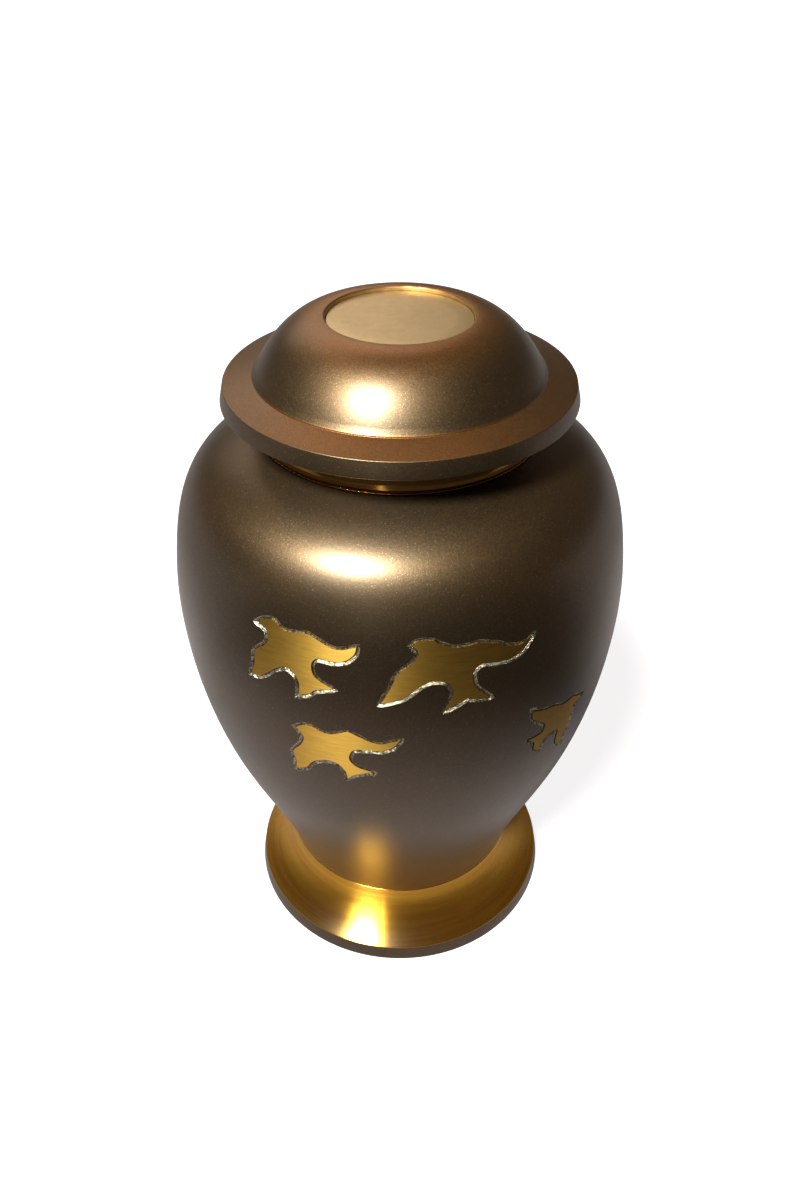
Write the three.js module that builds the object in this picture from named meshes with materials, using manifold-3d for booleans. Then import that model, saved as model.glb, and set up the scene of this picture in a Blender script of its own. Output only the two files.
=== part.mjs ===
// A lidded brass urn: a round coated body with birds carved in its side, a bare neck ring, a flared foot,
// and a domed lid with a brass disc set in its crown.
// Millimetres, +Z up. The origin is the middle of the circle that the foot stands on, and the front
// faces -Y.
import * as THREE from "three";
import { mergeVertices } from "three/addons/utils/BufferGeometryUtils.js";
import Module from "manifold-3d";

const wasm = await Module();
wasm.setup();

// Gap between two pieces that touch.
const SEAT_GAP = 0.3;

// Foot: a flared shell with an upright band at the floor and a ledge under the body.
const FOOT_HEIGHT = 26.5;
const FOOT_BASE_RADIUS = 65.5;
const FOOT_BAND_HEIGHT = 6.4;
const FOOT_BAND_LEAN = 1.1;
const FOOT_WALL = 2.2;
const FOOT_RIM_WIDTH = 3.2;
const FOOT_LEDGE_WIDTH = 9.5;
// The flare leaves the waist almost upright for this drop, moving out by this much, and then curves out to
// the band.
const FLARE_DROP = 11.2;
const FLARE_EASE = 2;

// Body.
const WAIST_RADIUS = 49.7;
const BELLY_RADIUS = 84.9;
const BELLY_RISE = 134.3;
const SHOULDER_RISE = 64.2;
const BODY_WALL = 2.1;

// Neck ring: a short wall that curves out at its base, and a sleeve that locates it in the mouth.
const NECK_RADIUS = 48.6;
const NECK_HEIGHT = 11.7;
const NECK_WALL = 2.8;
const COVE_REACH = 1.6;
const COVE_HEIGHT = 2.8;
const NECK_BEAD_HEIGHT = 0.5;
const NECK_LIP = 0.3;
const SLEEVE_DEPTH = 6;
const SLEEVE_WALL = 1.8;

// Lid.
const FLANGE_RADIUS = 61.9;
const FLANGE_EDGE_HEIGHT = 5.8;
const FLANGE_EDGE_LEAN = 1.35;
const FLANGE_RISE = 2.5;
const DOME_RADIUS = 50.1;
const DOME_HEIGHT = 19.1;
const CROWN_RADIUS = 26.2;
const DOME_SPREAD = 37.7;
const RECESS_RADIUS = 24.9;
const RIM_BEVEL = 0.4;
const LID_WALL = 2;
const SPIGOT_DEPTH = 10;
const SPIGOT_WALL = 2;
const SPIGOT_CLEARANCE = 0.6;

// Disc in the lid's crown.
const DISC_THICKNESS = 1.2;
const DISC_SINK = 1.5;

// Carving.
const GROOVE_WIDTH = 1.5;
const GROOVE_DEPTH = 0.75;
const FIELD_DEPTH = 0.2;
const OUTLINE_STEP = 3.8;
const MITRE_LIMIT = 2;
// How far the cutters reach: the groove's wedge above the surface, and a silhouette's block above and
// below it.
const GROOVE_ABOVE = 0.4;
const CUT_ABOVE = 9;
const CUT_BELOW = 4;

// Facets: sides around each piece and rows up the body.
const BODY_SIDES = 60;
const BODY_ROWS = 16;
const SMALL_SIDES = 44;
const HIDDEN_SIDES = 32;
const DOME_ROWS = 6;
const FLARE_ROWS = 6;
const COVE_ROWS = 2;

// The body's side from waist to belly: how far up, and how far out, each from 0 to 1.
const LOWER_SIDE = [
  [0, 0], [0.1, 0.108], [0.2, 0.246], [0.35, 0.476], [0.5, 0.687], [0.65, 0.843], [0.8, 0.945],
  [0.92, 0.989], [1, 1],
];
// The body's side from belly to neck, the same way: out goes back from 1 to 0.
const UPPER_SIDE = [
  [0.15, 0.991], [0.35, 0.95], [0.5, 0.9], [0.65, 0.815], [0.8, 0.644], [0.9, 0.405], [0.96, 0.18], [1, 0],
];

// Bird outlines, in millimetres across and up the body's side from the bird's middle. Each is a loop of
// five curved strokes that meet at sharp tips: along the back to one wing tip, to one tail tip, to the
// other tail tip, to the other wing tip, and up the breast to the beak. A stroke starts where the one
// before it ends.
const LEADING_BIRD = [
  [[-13.8, 11.7], [-11.5, 12.7], [-9.5, 12.7], [-7.7, 11.3], [-4.7, 10.4], [1.5, 11.4], [4.2, 11.1],
    [9.7, 8.7], [13.6, 8], [19, 9.7]],
  [[18.3, 7.2], [15.5, 4.6], [11.7, 3.5], [6.5, 3.7], [4.3, 1.6], [4.2, -1.6], [5.8, -4.4], [11.2, -7.2]],
  [[5.4, -9], [3.3, -11.1], [-0.4, -12.6]],
  [[-0.1, -8.3], [-1.6, -4.8], [-4.8, -3], [-8.3, -4.4], [-12.9, -8.6], [-15.9, -10.9], [-19, -11.4]],
  [[-17.5, -6.5], [-17.1, -1.3], [-13.1, 2.5], [-11.7, 5.6], [-12.7, 8.8], [-16.1, 10.1]],
];
const GLIDING_BIRD = [
  [[-13.6, 13.7], [-9.4, 13.6], [-6.8, 12.2], [-2.8, 10.4], [1.6, 10.2], [6.8, 10.5], [11.6, 9],
    [16.5, 6.8], [21.4, 5.9], [25.4, 7.7]],
  [[21.9, 3.8], [17.2, 2.2], [12, 2.4], [7.5, 3], [4.6, 1.3], [3.9, -1.9], [5.2, -6.1], [9.9, -11.2]],
  [[4.7, -10.4], [2.4, -9.7], [-0.7, -11.4], [-4.5, -13.5]],
  [[-2.2, -7.8], [-2.7, -4.2], [-5, -1.8], [-9.4, -1], [-13.6, -3.1], [-18.6, -7.3], [-25.4, -9.8]],
  [[-22.5, -4], [-20.1, 1.6], [-16.5, 4.9], [-13.9, 7.9], [-13.6, 10.2], [-15.3, 12.4]],
];
const FOLLOWING_BIRD = [
  [[-13.9, 11.6], [-10.7, 12.3], [-7.5, 10.9], [-4.2, 10.5], [-0.8, 11.8], [2.2, 13.1], [5.7, 11.5],
    [9.9, 9.4], [13.6, 8.8], [19.3, 10.9]],
  [[17.1, 7.6], [13.5, 5.6], [7.8, 5.4], [3.8, 4.6], [2, 1.3], [2.3, -1.9], [5, -4.8], [9.7, -6.3]],
  [[3.9, -8.8], [0.9, -11.6]],
  [[0.3, -7.8], [-1.9, -4.4], [-5.2, -3.2], [-9.2, -4.6], [-12.1, -6.7], [-15.3, -11.3], [-19.3, -13.4]],
  [[-18.6, -8.8], [-19, -3.8], [-15.4, 1.3], [-13.9, 5.8], [-16.2, 9.8]],
];
const TURNING_BIRD = [
  [[10.5, 7.9], [7.4, 9.6], [3.7, 9.6], [0.7, 10.1], [-3.7, 12.3], [-8.1, 13.1], [-13.4, 15.2]],
  [[-12.9, 11.7], [-9.2, 8.2], [-6.2, 5.2], [-6.1, 2.6], [-7.7, 0.5], [-12.9, 0.3]],
  [[-9.7, -2.7], [-9.3, -5.9], [-8.2, -7.8], [-6.8, -9]],
  [[-5.4, -5], [-2.7, -2.9], [0.6, -2.8], [2.8, -4.6], [3.1, -7.6], [3.5, -11], [5, -13.8], [8, -15.4]],
  [[7.9, -11.3], [9.1, -5.2], [8.9, 0.8], [9.1, 4.4], [13.6, 6.8]],
];

// Where the birds fly: degrees around the body from the front, and the share of the way up its side.
const FLOCK = [
  { outline: LEADING_BIRD, turn: -22.7, rise: 0.721 },
  { outline: GLIDING_BIRD, turn: 13.3, rise: 0.716 },
  { outline: FOLLOWING_BIRD, turn: -13.3, rise: 0.546 },
  { outline: TURNING_BIRD, turn: 41.8, rise: 0.528 },
  { outline: FOLLOWING_BIRD, turn: 136, rise: 0.7 },
  { outline: LEADING_BIRD, turn: 205, rise: 0.6 },
];

// Heights where the pieces start and end.
const bodyBottom = FOOT_HEIGHT + SEAT_GAP;
const bellyHeight = bodyBottom + BELLY_RISE;
const bodyTop = bellyHeight + SHOULDER_RISE;
const neckBottom = bodyTop + SEAT_GAP;
const neckTop = neckBottom + NECK_HEIGHT;
const lidBottom = neckTop + SEAT_GAP;
const domeBottom = lidBottom + FLANGE_EDGE_HEIGHT + FLANGE_RISE;
const lidTop = domeBottom + DOME_HEIGHT;

// Radii that one piece takes from another.
const neckBaseRadius = NECK_RADIUS + COVE_REACH;
const mouthEdgeRadius = neckBaseRadius + NECK_LIP;
const neckBoreRadius = NECK_RADIUS - NECK_WALL;
const sleeveRadius = neckBoreRadius + SLEEVE_WALL;
const mouthRadius = sleeveRadius + SEAT_GAP;
const spigotRadius = neckBoreRadius - SPIGOT_CLEARANCE;
const discRadius = RECESS_RADIUS - SEAT_GAP;
const discTop = lidTop - DISC_SINK;
const recessFloor = discTop - DISC_THICKNESS - SEAT_GAP;

function solidOf(geometry) {
  geometry.deleteAttribute("normal");
  geometry.deleteAttribute("uv");
  const merged = mergeVertices(geometry, 1e-4);
  const mesh = new wasm.Mesh({
    numProp: 3,
    vertProperties: merged.getAttribute("position").array,
    triVerts: new Uint32Array(merged.index.array),
  });
  return new wasm.Manifold(mesh);
}

function geometryOf(solid) {
  const mesh = solid.getMesh();
  const geometry = new THREE.BufferGeometry();
  geometry.setAttribute("position", new THREE.BufferAttribute(mesh.vertProperties, 3));
  geometry.setIndex(new THREE.BufferAttribute(mesh.triVerts, 1));
  geometry.computeVertexNormals();
  return geometry;
}

// A profile of [radius, height] points turned about the Z axis, its first point at the front.
function turned(profile, sides) {
  const points = profile.map(([radius, height]) => new THREE.Vector2(radius, height));
  return solidOf(new THREE.LatheGeometry(points, sides).rotateX(Math.PI / 2));
}

// A profile moved sideways by a distance: to the left of its direction, which is inwards on a side that
// runs up.
function offsetProfile(profile, distance) {
  return profile.map(([radius, height], i) => {
    const before = profile[Math.max(i - 1, 0)];
    const after = profile[Math.min(i + 1, profile.length - 1)];
    const run = new THREE.Vector2(after[0] - before[0], after[1] - before[1]).normalize();
    return [radius - run.y * distance, height + run.x * distance];
  });
}

// Every second point of a profile: hidden sides have longer facets.
function thinned(profile) {
  return profile.filter((_, i) => i % 2 === 1);
}

// Rows of the body's side from waist to mouth, evenly spaced along it.
function bodySide() {
  const lower = LOWER_SIDE.map(([up, out]) => [
    WAIST_RADIUS + out * (BELLY_RADIUS - WAIST_RADIUS),
    bodyBottom + up * BELLY_RISE,
  ]);
  const upper = UPPER_SIDE.map(([up, out]) => [
    mouthEdgeRadius + out * (BELLY_RADIUS - mouthEdgeRadius),
    bellyHeight + up * SHOULDER_RISE,
  ]);
  const knots = [...lower, ...upper].map(([radius, height]) => new THREE.Vector3(radius, height, 0));
  const curve = new THREE.CatmullRomCurve3(knots, false, "centripetal");
  return curve.getSpacedPoints(BODY_ROWS).map((point) => [point.x, point.y]);
}

const side = bodySide();
const rowLength = Math.hypot(side[1][0] - side[0][0], side[1][1] - side[0][1]);
const sideLength = rowLength * BODY_ROWS;

// The body's radius and height at a distance up its side.
function sidePoint(distance) {
  const row = THREE.MathUtils.clamp(distance / rowLength, 0, BODY_ROWS - 1e-6);
  const lower = side[Math.floor(row)];
  const upper = side[Math.floor(row) + 1];
  const share = row - Math.floor(row);
  return [lower[0] + share * (upper[0] - lower[0]), lower[1] + share * (upper[1] - lower[1])];
}

// Lays flat points of a bird on the body's side, lifted outwards by a distance.
function layOnBody(points, place, lift) {
  const middle = place.rise * sideLength;
  const [middleRadius] = sidePoint(middle);
  return points.map((point) => {
    const [radius, height] = sidePoint(middle + point.y);
    const angle = THREE.MathUtils.degToRad(place.turn) + point.x / middleRadius;
    return new THREE.Vector3(Math.sin(angle) * (radius + lift), -Math.cos(angle) * (radius + lift), height);
  });
}

// The points around a bird, anticlockwise, at even steps along each stroke.
function birdLoop(strokes) {
  const loop = [];
  let start = strokes.at(-1).at(-1);
  for (const stroke of strokes) {
    const knots = [start, ...stroke].map(([x, y]) => new THREE.Vector2(x, y));
    const curve = new THREE.SplineCurve(knots);
    const steps = Math.max(2, Math.round(curve.getLength() / OUTLINE_STEP));
    loop.push(...curve.getSpacedPoints(steps).slice(1));
    start = stroke.at(-1);
  }
  return THREE.ShapeUtils.area(loop) < 0 ? loop.reverse() : loop;
}

// A loop grown outwards by a distance, with its corners mitred up to a limit.
function growLoop(loop, distance) {
  return loop.map((point, i) => {
    const before = loop[(i + loop.length - 1) % loop.length];
    const after = loop[(i + 1) % loop.length];
    const inward = point.clone().sub(before).normalize();
    const outward = after.clone().sub(point).normalize();
    const normal = new THREE.Vector2(inward.y + outward.y, -inward.x - outward.x).normalize();
    const stretch = Math.min(1 / Math.max(normal.x * inward.y - normal.y * inward.x, 0.01), MITRE_LIMIT);
    return point.clone().addScaledVector(normal, distance * stretch);
  });
}

// A closed solid between two matching loops of points in space, capped by the triangles of the flat loop.
function loopSolid(inner, outer, flat) {
  const count = flat.length;
  const caps = THREE.ShapeUtils.triangulateShape(flat, []);
  const faces = caps.flatMap(([a, b, c]) => [a + count, b + count, c + count, c, b, a]);
  for (let i = 0; i < count; i++) {
    const next = (i + 1) % count;
    faces.push(i, next, next + count, i, next + count, i + count);
  }
  const geometry = new THREE.BufferGeometry().setFromPoints([...inner, ...outer]);
  geometry.setIndex(faces);
  return solidOf(geometry);
}

// The brushed silhouette: everything inside the loop, from below the surface to well outside it. Its edge
// lies in the groove, halfway down the near slope.
function fieldCut(place) {
  const loop = growLoop(birdLoop(place.outline), GROOVE_WIDTH / 4);
  return loopSolid(layOnBody(loop, place, -CUT_BELOW), layOnBody(loop, place, CUT_ABOVE), loop);
}

// The bevelled cut around a bird: one wedge for each step of its outline, all joined.
function grooveCut(place) {
  const half = GROOVE_WIDTH / 2;
  const spread = half * (1 + GROOVE_ABOVE / GROOVE_DEPTH);
  const loop = birdLoop(place.outline);
  const near = layOnBody(growLoop(loop, half - spread), place, GROOVE_ABOVE);
  const deep = layOnBody(growLoop(loop, half), place, -GROOVE_DEPTH);
  const far = layOnBody(growLoop(loop, half + spread), place, GROOVE_ABOVE);
  const wedges = loop.map((point, i) => {
    const next = (i + 1) % loop.length;
    const corners = [near[i], deep[i], far[i], near[next], deep[next], far[next]];
    const geometry = new THREE.BufferGeometry().setFromPoints(corners);
    geometry.setIndex([0, 1, 2, 3, 5, 4, 0, 4, 1, 0, 3, 4, 1, 5, 2, 1, 4, 5, 2, 3, 0, 2, 5, 3]);
    return solidOf(geometry);
  });
  return wasm.Manifold.union(wedges);
}

function vessel() {
  const outside = turned([[0, bodyBottom], ...side, [0, bodyTop]], BODY_SIDES);
  const insideRows = thinned(offsetProfile(side, BODY_WALL)).filter(([radius]) => radius > mouthRadius);
  const [, shoulderHeight] = insideRows.at(-1);
  const inside = turned(
    [
      [0, bodyBottom + BODY_WALL],
      [WAIST_RADIUS - BODY_WALL, bodyBottom + BODY_WALL],
      ...insideRows,
      [mouthRadius, (shoulderHeight + bodyTop - BODY_WALL) / 2],
      [mouthRadius, bodyTop + BODY_WALL],
      [0, bodyTop + BODY_WALL],
    ],
    HIDDEN_SIDES,
  );
  const sunken = side.map(([radius, height]) => [radius - FIELD_DEPTH, height]);
  const underField = turned([[0, bodyBottom], ...sunken, [0, bodyTop]], BODY_SIDES);
  const fields = wasm.Manifold.union(FLOCK.map(fieldCut)).subtract(underField);
  const grooves = wasm.Manifold.union(FLOCK.map(grooveCut));
  return outside.subtract(inside).subtract(fields).subtract(grooves);
}

function foot() {
  const bandTopRadius = FOOT_BASE_RADIUS - FOOT_BAND_LEAN;
  const flare = new THREE.QuadraticBezierCurve(
    new THREE.Vector2(bandTopRadius, FOOT_BAND_HEIGHT),
    new THREE.Vector2(WAIST_RADIUS + FLARE_EASE, FOOT_HEIGHT - FLARE_DROP),
    new THREE.Vector2(WAIST_RADIUS, FOOT_HEIGHT),
  );
  const outside = flare.getPoints(FLARE_ROWS).map((point) => [point.x, point.y]);
  const rimInnerRadius = FOOT_BASE_RADIUS - FOOT_RIM_WIDTH;
  const ledgeBottom = FOOT_HEIGHT - FOOT_WALL;
  const inside = thinned(offsetProfile(outside, FOOT_WALL))
    .filter(([radius, height]) => radius < rimInnerRadius && height < ledgeBottom)
    .reverse();
  const ledgeRadius = WAIST_RADIUS - FOOT_LEDGE_WIDTH;
  return turned(
    [
      [FOOT_BASE_RADIUS, 0],
      ...outside,
      [ledgeRadius, FOOT_HEIGHT],
      [ledgeRadius, ledgeBottom],
      [WAIST_RADIUS - FOOT_WALL, ledgeBottom],
      ...inside,
      [rimInnerRadius, FOOT_BAND_HEIGHT - FOOT_WALL],
      [rimInnerRadius, 0],
      [FOOT_BASE_RADIUS, 0],
    ],
    SMALL_SIDES,
  );
}

function neckRing() {
  const cove = [];
  for (let i = 0; i <= COVE_ROWS; i++) {
    const angle = (i / COVE_ROWS) * (Math.PI / 2);
    cove.push([
      neckBaseRadius - COVE_REACH * Math.sin(angle),
      neckBottom + NECK_BEAD_HEIGHT + COVE_HEIGHT * (1 - Math.cos(angle)),
    ]);
  }
  return turned(
    [
      [neckBaseRadius, neckBottom],
      ...cove,
      [NECK_RADIUS, neckTop],
      [neckBoreRadius, neckTop],
      [neckBoreRadius, neckBottom - SLEEVE_DEPTH],
      [sleeveRadius, neckBottom - SLEEVE_DEPTH],
      [sleeveRadius, neckBottom],
      [neckBaseRadius, neckBottom],
    ],
    SMALL_SIDES,
  );
}

// Points of the dome's outside from its base to its crown: part of an ellipse that is level at the crown.
function domeSide() {
  const baseAngle = Math.asin((DOME_RADIUS - CROWN_RADIUS) / DOME_SPREAD);
  const ellipseHeight = DOME_HEIGHT / (1 - Math.cos(baseAngle));
  const points = [];
  for (let i = 0; i <= DOME_ROWS; i++) {
    const angle = baseAngle * (1 - i / DOME_ROWS);
    points.push([
      CROWN_RADIUS + DOME_SPREAD * Math.sin(angle),
      lidTop - ellipseHeight * (1 - Math.cos(angle)),
    ]);
  }
  return points;
}

function lid() {
  const dome = domeSide();
  const ceiling = recessFloor - LID_WALL;
  const spigotBore = spigotRadius - SPIGOT_WALL;
  const inside = offsetProfile(dome, LID_WALL)
    .filter(([, height]) => height < ceiling)
    .reverse();
  return turned(
    [
      [spigotRadius, lidBottom - SPIGOT_DEPTH],
      [spigotRadius, lidBottom],
      [FLANGE_RADIUS, lidBottom],
      [FLANGE_RADIUS - FLANGE_EDGE_LEAN, lidBottom + FLANGE_EDGE_HEIGHT],
      ...dome,
      [RECESS_RADIUS + RIM_BEVEL, lidTop],
      [RECESS_RADIUS, lidTop - RIM_BEVEL],
      [RECESS_RADIUS, recessFloor],
      [0, recessFloor],
      [0, ceiling],
      [RECESS_RADIUS + LID_WALL, ceiling],
      ...inside,
      [spigotBore, lidBottom + LID_WALL],
      [spigotBore, lidBottom - SPIGOT_DEPTH],
      [spigotRadius, lidBottom - SPIGOT_DEPTH],
    ],
    SMALL_SIDES,
  );
}

function lidDisc() {
  return turned(
    [
      [0, discTop - DISC_THICKNESS],
      [discRadius, discTop - DISC_THICKNESS],
      [discRadius, discTop],
      [0, discTop],
    ],
    SMALL_SIDES,
  );
}

const bronzeCoat = new THREE.MeshStandardMaterial({ color: 0x5f4b36, roughness: 0.42, metalness: 0.85 });
const polishedBrass = new THREE.MeshStandardMaterial({ color: 0xb9892f, roughness: 0.2, metalness: 1 });
const brushedBrass = new THREE.MeshStandardMaterial({ color: 0xc18a2a, roughness: 0.35, metalness: 1 });
const satinBrass = new THREE.MeshStandardMaterial({ color: 0xc9ad80, roughness: 0.45, metalness: 1 });

function piece(name, solid, material) {
  const mesh = new THREE.Mesh(geometryOf(solid), material);
  mesh.name = name;
  return mesh;
}

const urn = new THREE.Group();
urn.add(piece("foot", foot(), brushedBrass));
urn.add(piece("vessel", vessel(), bronzeCoat));
urn.add(piece("neck_ring", neckRing(), polishedBrass));
urn.add(piece("lid", lid(), bronzeCoat));
urn.add(piece("lid_disc", lidDisc(), satinBrass));

export default urn;
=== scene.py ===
"""A lidded brass urn with carved birds: its finished surfaces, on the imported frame."""

import math

import bpy
import numpy as np
from bpy.props import FloatProperty, FloatVectorProperty, IntProperty, PointerProperty
from mathutils.geometry import delaunay_2d_cdt
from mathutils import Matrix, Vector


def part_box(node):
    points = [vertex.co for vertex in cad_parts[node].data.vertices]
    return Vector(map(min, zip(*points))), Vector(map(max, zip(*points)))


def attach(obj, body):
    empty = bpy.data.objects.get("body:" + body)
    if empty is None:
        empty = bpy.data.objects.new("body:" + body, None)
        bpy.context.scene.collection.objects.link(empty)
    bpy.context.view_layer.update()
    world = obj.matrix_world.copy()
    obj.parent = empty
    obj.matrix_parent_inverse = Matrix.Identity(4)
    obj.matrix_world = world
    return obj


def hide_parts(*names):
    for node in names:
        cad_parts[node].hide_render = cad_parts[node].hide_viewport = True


bl_info = {
    "name": "Carved Brass Urn",
    "version": (1, 0, 0),
    "blender": (4, 5, 0),
    "location": "3D View > Sidebar > Urn",
    "description": "Makes the surfaces of a lidded brass urn with carved birds on its packed frame",
    "category": "Add Mesh",
}

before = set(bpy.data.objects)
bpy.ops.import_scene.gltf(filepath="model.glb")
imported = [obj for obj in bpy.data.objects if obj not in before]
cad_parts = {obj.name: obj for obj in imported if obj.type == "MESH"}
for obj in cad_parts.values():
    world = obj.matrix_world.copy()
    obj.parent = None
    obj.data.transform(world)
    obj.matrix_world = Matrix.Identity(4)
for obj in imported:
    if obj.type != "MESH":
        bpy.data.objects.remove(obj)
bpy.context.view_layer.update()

MM = 0.001
BODY = "root"
foot_low, foot_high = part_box("foot")
body_low, body_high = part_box("vessel")
neck_low, neck_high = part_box("neck_ring")
lid_low, lid_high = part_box("lid")
disc_low, disc_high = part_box("lid_disc")

# In millimetres: the foot's flare from waist to base, the height of the belly over the waist, the end of the
# shoulder at the neck ring, the mouth's radius, the wall, and the height of a row of faces.
FLARE_REACH, BELLY_RISE, SHOULDER_END, MOUTH, BODY_WALL, ROW_HEIGHT = 15.8, 134.3, 50.5, 47.9, 2.1, 2.5
# A smaller radius counts as on the axis. Half a corner of the nearly straight size gets no arc, and faces that
# meet at the sharp angle or more have an edge between them.
ON_AXIS, NEARLY_STRAIGHT, SHARP = 1e-9, math.radians(88), math.radians(28)

# The body's side from waist to belly and from belly to neck: how far up, and how far out, each from 0 to 1.
LOWER_SIDE = [
    (0, 0), (0.1, 0.108), (0.2, 0.246), (0.35, 0.476), (0.5, 0.687), (0.65, 0.843), (0.8, 0.945),
    (0.92, 0.989), (1, 1),
]
UPPER_SIDE = [
    (0.15, 0.991), (0.35, 0.95), (0.5, 0.9), (0.65, 0.815), (0.8, 0.644), (0.9, 0.405), (0.96, 0.18), (1, 0),
]

# Bird outlines, in millimetres across and up the body's side from the bird's middle: five curved strokes
# that meet at sharp tips. A stroke starts where the one before it ends.
LEADING_BIRD = [
    [(-13.8, 11.7), (-11.5, 12.7), (-9.5, 12.7), (-7.7, 11.3), (-4.7, 10.4), (1.5, 11.4), (4.2, 11.1),
     (9.7, 8.7), (13.6, 8), (19, 9.7)],
    [(18.3, 7.2), (15.5, 4.6), (11.7, 3.5), (6.5, 3.7), (4.3, 1.6), (4.2, -1.6), (5.8, -4.4), (11.2, -7.2)],
    [(5.4, -9), (3.3, -11.1), (-0.4, -12.6)],
    [(-0.1, -8.3), (-1.6, -4.8), (-4.8, -3), (-8.3, -4.4), (-12.9, -8.6), (-15.9, -10.9), (-19, -11.4)],
    [(-17.5, -6.5), (-17.1, -1.3), (-13.1, 2.5), (-11.7, 5.6), (-12.7, 8.8), (-16.1, 10.1)],
]
GLIDING_BIRD = [
    [(-13.6, 13.7), (-9.4, 13.6), (-6.8, 12.2), (-2.8, 10.4), (1.6, 10.2), (6.8, 10.5), (11.6, 9),
     (16.5, 6.8), (21.4, 5.9), (25.4, 7.7)],
    [(21.9, 3.8), (17.2, 2.2), (12, 2.4), (7.5, 3), (4.6, 1.3), (3.9, -1.9), (5.2, -6.1), (9.9, -11.2)],
    [(4.7, -10.4), (2.4, -9.7), (-0.7, -11.4), (-4.5, -13.5)],
    [(-2.2, -7.8), (-2.7, -4.2), (-5, -1.8), (-9.4, -1), (-13.6, -3.1), (-18.6, -7.3), (-25.4, -9.8)],
    [(-22.5, -4), (-20.1, 1.6), (-16.5, 4.9), (-13.9, 7.9), (-13.6, 10.2), (-15.3, 12.4)],
]
FOLLOWING_BIRD = [
    [(-13.9, 11.6), (-10.7, 12.3), (-7.5, 10.9), (-4.2, 10.5), (-0.8, 11.8), (2.2, 13.1), (5.7, 11.5),
     (9.9, 9.4), (13.6, 8.8), (19.3, 10.9)],
    [(17.1, 7.6), (13.5, 5.6), (7.8, 5.4), (3.8, 4.6), (2, 1.3), (2.3, -1.9), (5, -4.8), (9.7, -6.3)],
    [(3.9, -8.8), (0.9, -11.6)],
    [(0.3, -7.8), (-1.9, -4.4), (-5.2, -3.2), (-9.2, -4.6), (-12.1, -6.7), (-15.3, -11.3), (-19.3, -13.4)],
    [(-18.6, -8.8), (-19, -3.8), (-15.4, 1.3), (-13.9, 5.8), (-16.2, 9.8)],
]
TURNING_BIRD = [
    [(10.5, 7.9), (7.4, 9.6), (3.7, 9.6), (0.7, 10.1), (-3.7, 12.3), (-8.1, 13.1), (-13.4, 15.2)],
    [(-12.9, 11.7), (-9.2, 8.2), (-6.2, 5.2), (-6.1, 2.6), (-7.7, 0.5), (-12.9, 0.3)],
    [(-9.7, -2.7), (-9.3, -5.9), (-8.2, -7.8), (-6.8, -9)],
    [(-5.4, -5), (-2.7, -2.9), (0.6, -2.8), (2.8, -4.6), (3.1, -7.6), (3.5, -11), (5, -13.8), (8, -15.4)],
    [(7.9, -11.3), (9.1, -5.2), (8.9, 0.8), (9.1, 4.4), (13.6, 6.8)],
]
# Where the birds fly: outline, degrees around the body from the front, and share of the way up its side.
# Birds whose cuts come close to each other share a patch of the body.
FLOCK = [
    [(LEADING_BIRD, -22.7, 0.721), (GLIDING_BIRD, 13.3, 0.716)],
    [(FOLLOWING_BIRD, -13.3, 0.546)],
    [(TURNING_BIRD, 41.8, 0.528)],
    [(FOLLOWING_BIRD, 136, 0.7)],
    [(LEADING_BIRD, 205, 0.6)],
]


class UrnSizes(bpy.types.PropertyGroup):
    """Sizes of the urn's finishing."""

    groove_width: FloatProperty(
        name="Groove width", description="Width of the cut around each bird", default=0.0015, unit="LENGTH",
    )
    groove_depth: FloatProperty(
        name="Groove depth", description="Depth of the cut around each bird", default=0.0005, unit="LENGTH",
    )
    field_depth: FloatProperty(
        name="Bird depth", description="How far a bird's brushed face lies below the coat",
        default=0.0002, unit="LENGTH",
    )
    edge_round: FloatProperty(
        name="Edge rounding", description="Radius of the turned edges", default=0.0004, unit="LENGTH",
    )
    cove_reach: FloatProperty(
        name="Cove reach", description="How far the neck ring curves out at its base",
        default=0.0016, unit="LENGTH",
    )
    columns: IntProperty(
        name="Columns", description="Faces around the body", default=180, min=60, max=360, subtype="UNSIGNED"
    )


class UrnColours(bpy.types.PropertyGroup):
    """Colours of the urn's metals and coat."""

    coat: FloatVectorProperty(
        name="Coat", description="Bronze lacquer", subtype="COLOR", default=(0.099, 0.058, 0.024), min=0, max=1
    )
    # The warm coat colour tints random clouds in the lacquer, and on the lid it is a painted warm reflection on
    # the flat tops.
    coat_warm_and_painted_reflection: FloatVectorProperty(
        name="Warm coat", description="Redder lacquer on the flat tops", subtype="COLOR",
        default=(0.38, 0.145, 0.024), min=0, max=1,
    )
    fleck: FloatVectorProperty(
        name="Flecks", description="Bright metal flecks in the lacquer", subtype="COLOR",
        default=(0.3, 0.24, 0.15), min=0, max=1,
    )
    brass: FloatVectorProperty(
        name="Brass", description="Brushed brass of the foot", subtype="COLOR",
        default=(1.0, 0.5, 0.055), min=0, max=1,
    )
    bird_brass: FloatVectorProperty(
        name="Bird brass", description="Brushed brass of the birds", subtype="COLOR",
        default=(0.76, 0.44, 0.085), min=0, max=1,
    )
    pale_brass: FloatVectorProperty(
        name="Pale brass", description="Satin brass of the disc", subtype="COLOR",
        default=(0.87, 0.65, 0.385), min=0, max=1,
    )
    cut_brass: FloatVectorProperty(
        name="Cut brass", description="Fresh cut faces around the birds", subtype="COLOR",
        default=(0.66, 0.58, 0.45), min=0, max=1,
    )
    floor: FloatVectorProperty(
        name="Floor", description="Studio floor", subtype="COLOR", default=(0.3, 0.28, 0.32), min=0, max=1
    )


# ---- shapes ----


def run_length(points):
    """How far along a line of points each of them lies."""
    return np.r_[0, np.cumsum(np.hypot(*np.diff(points, axis=0).T))]


def unit(vectors):
    """The same directions with length 1."""
    return vectors / np.hypot(*vectors.T)[:, None]


def side_by_side(x, z):
    """Points from a row of first and a row of second coordinates."""
    return np.stack([x, z], axis=1)


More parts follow.
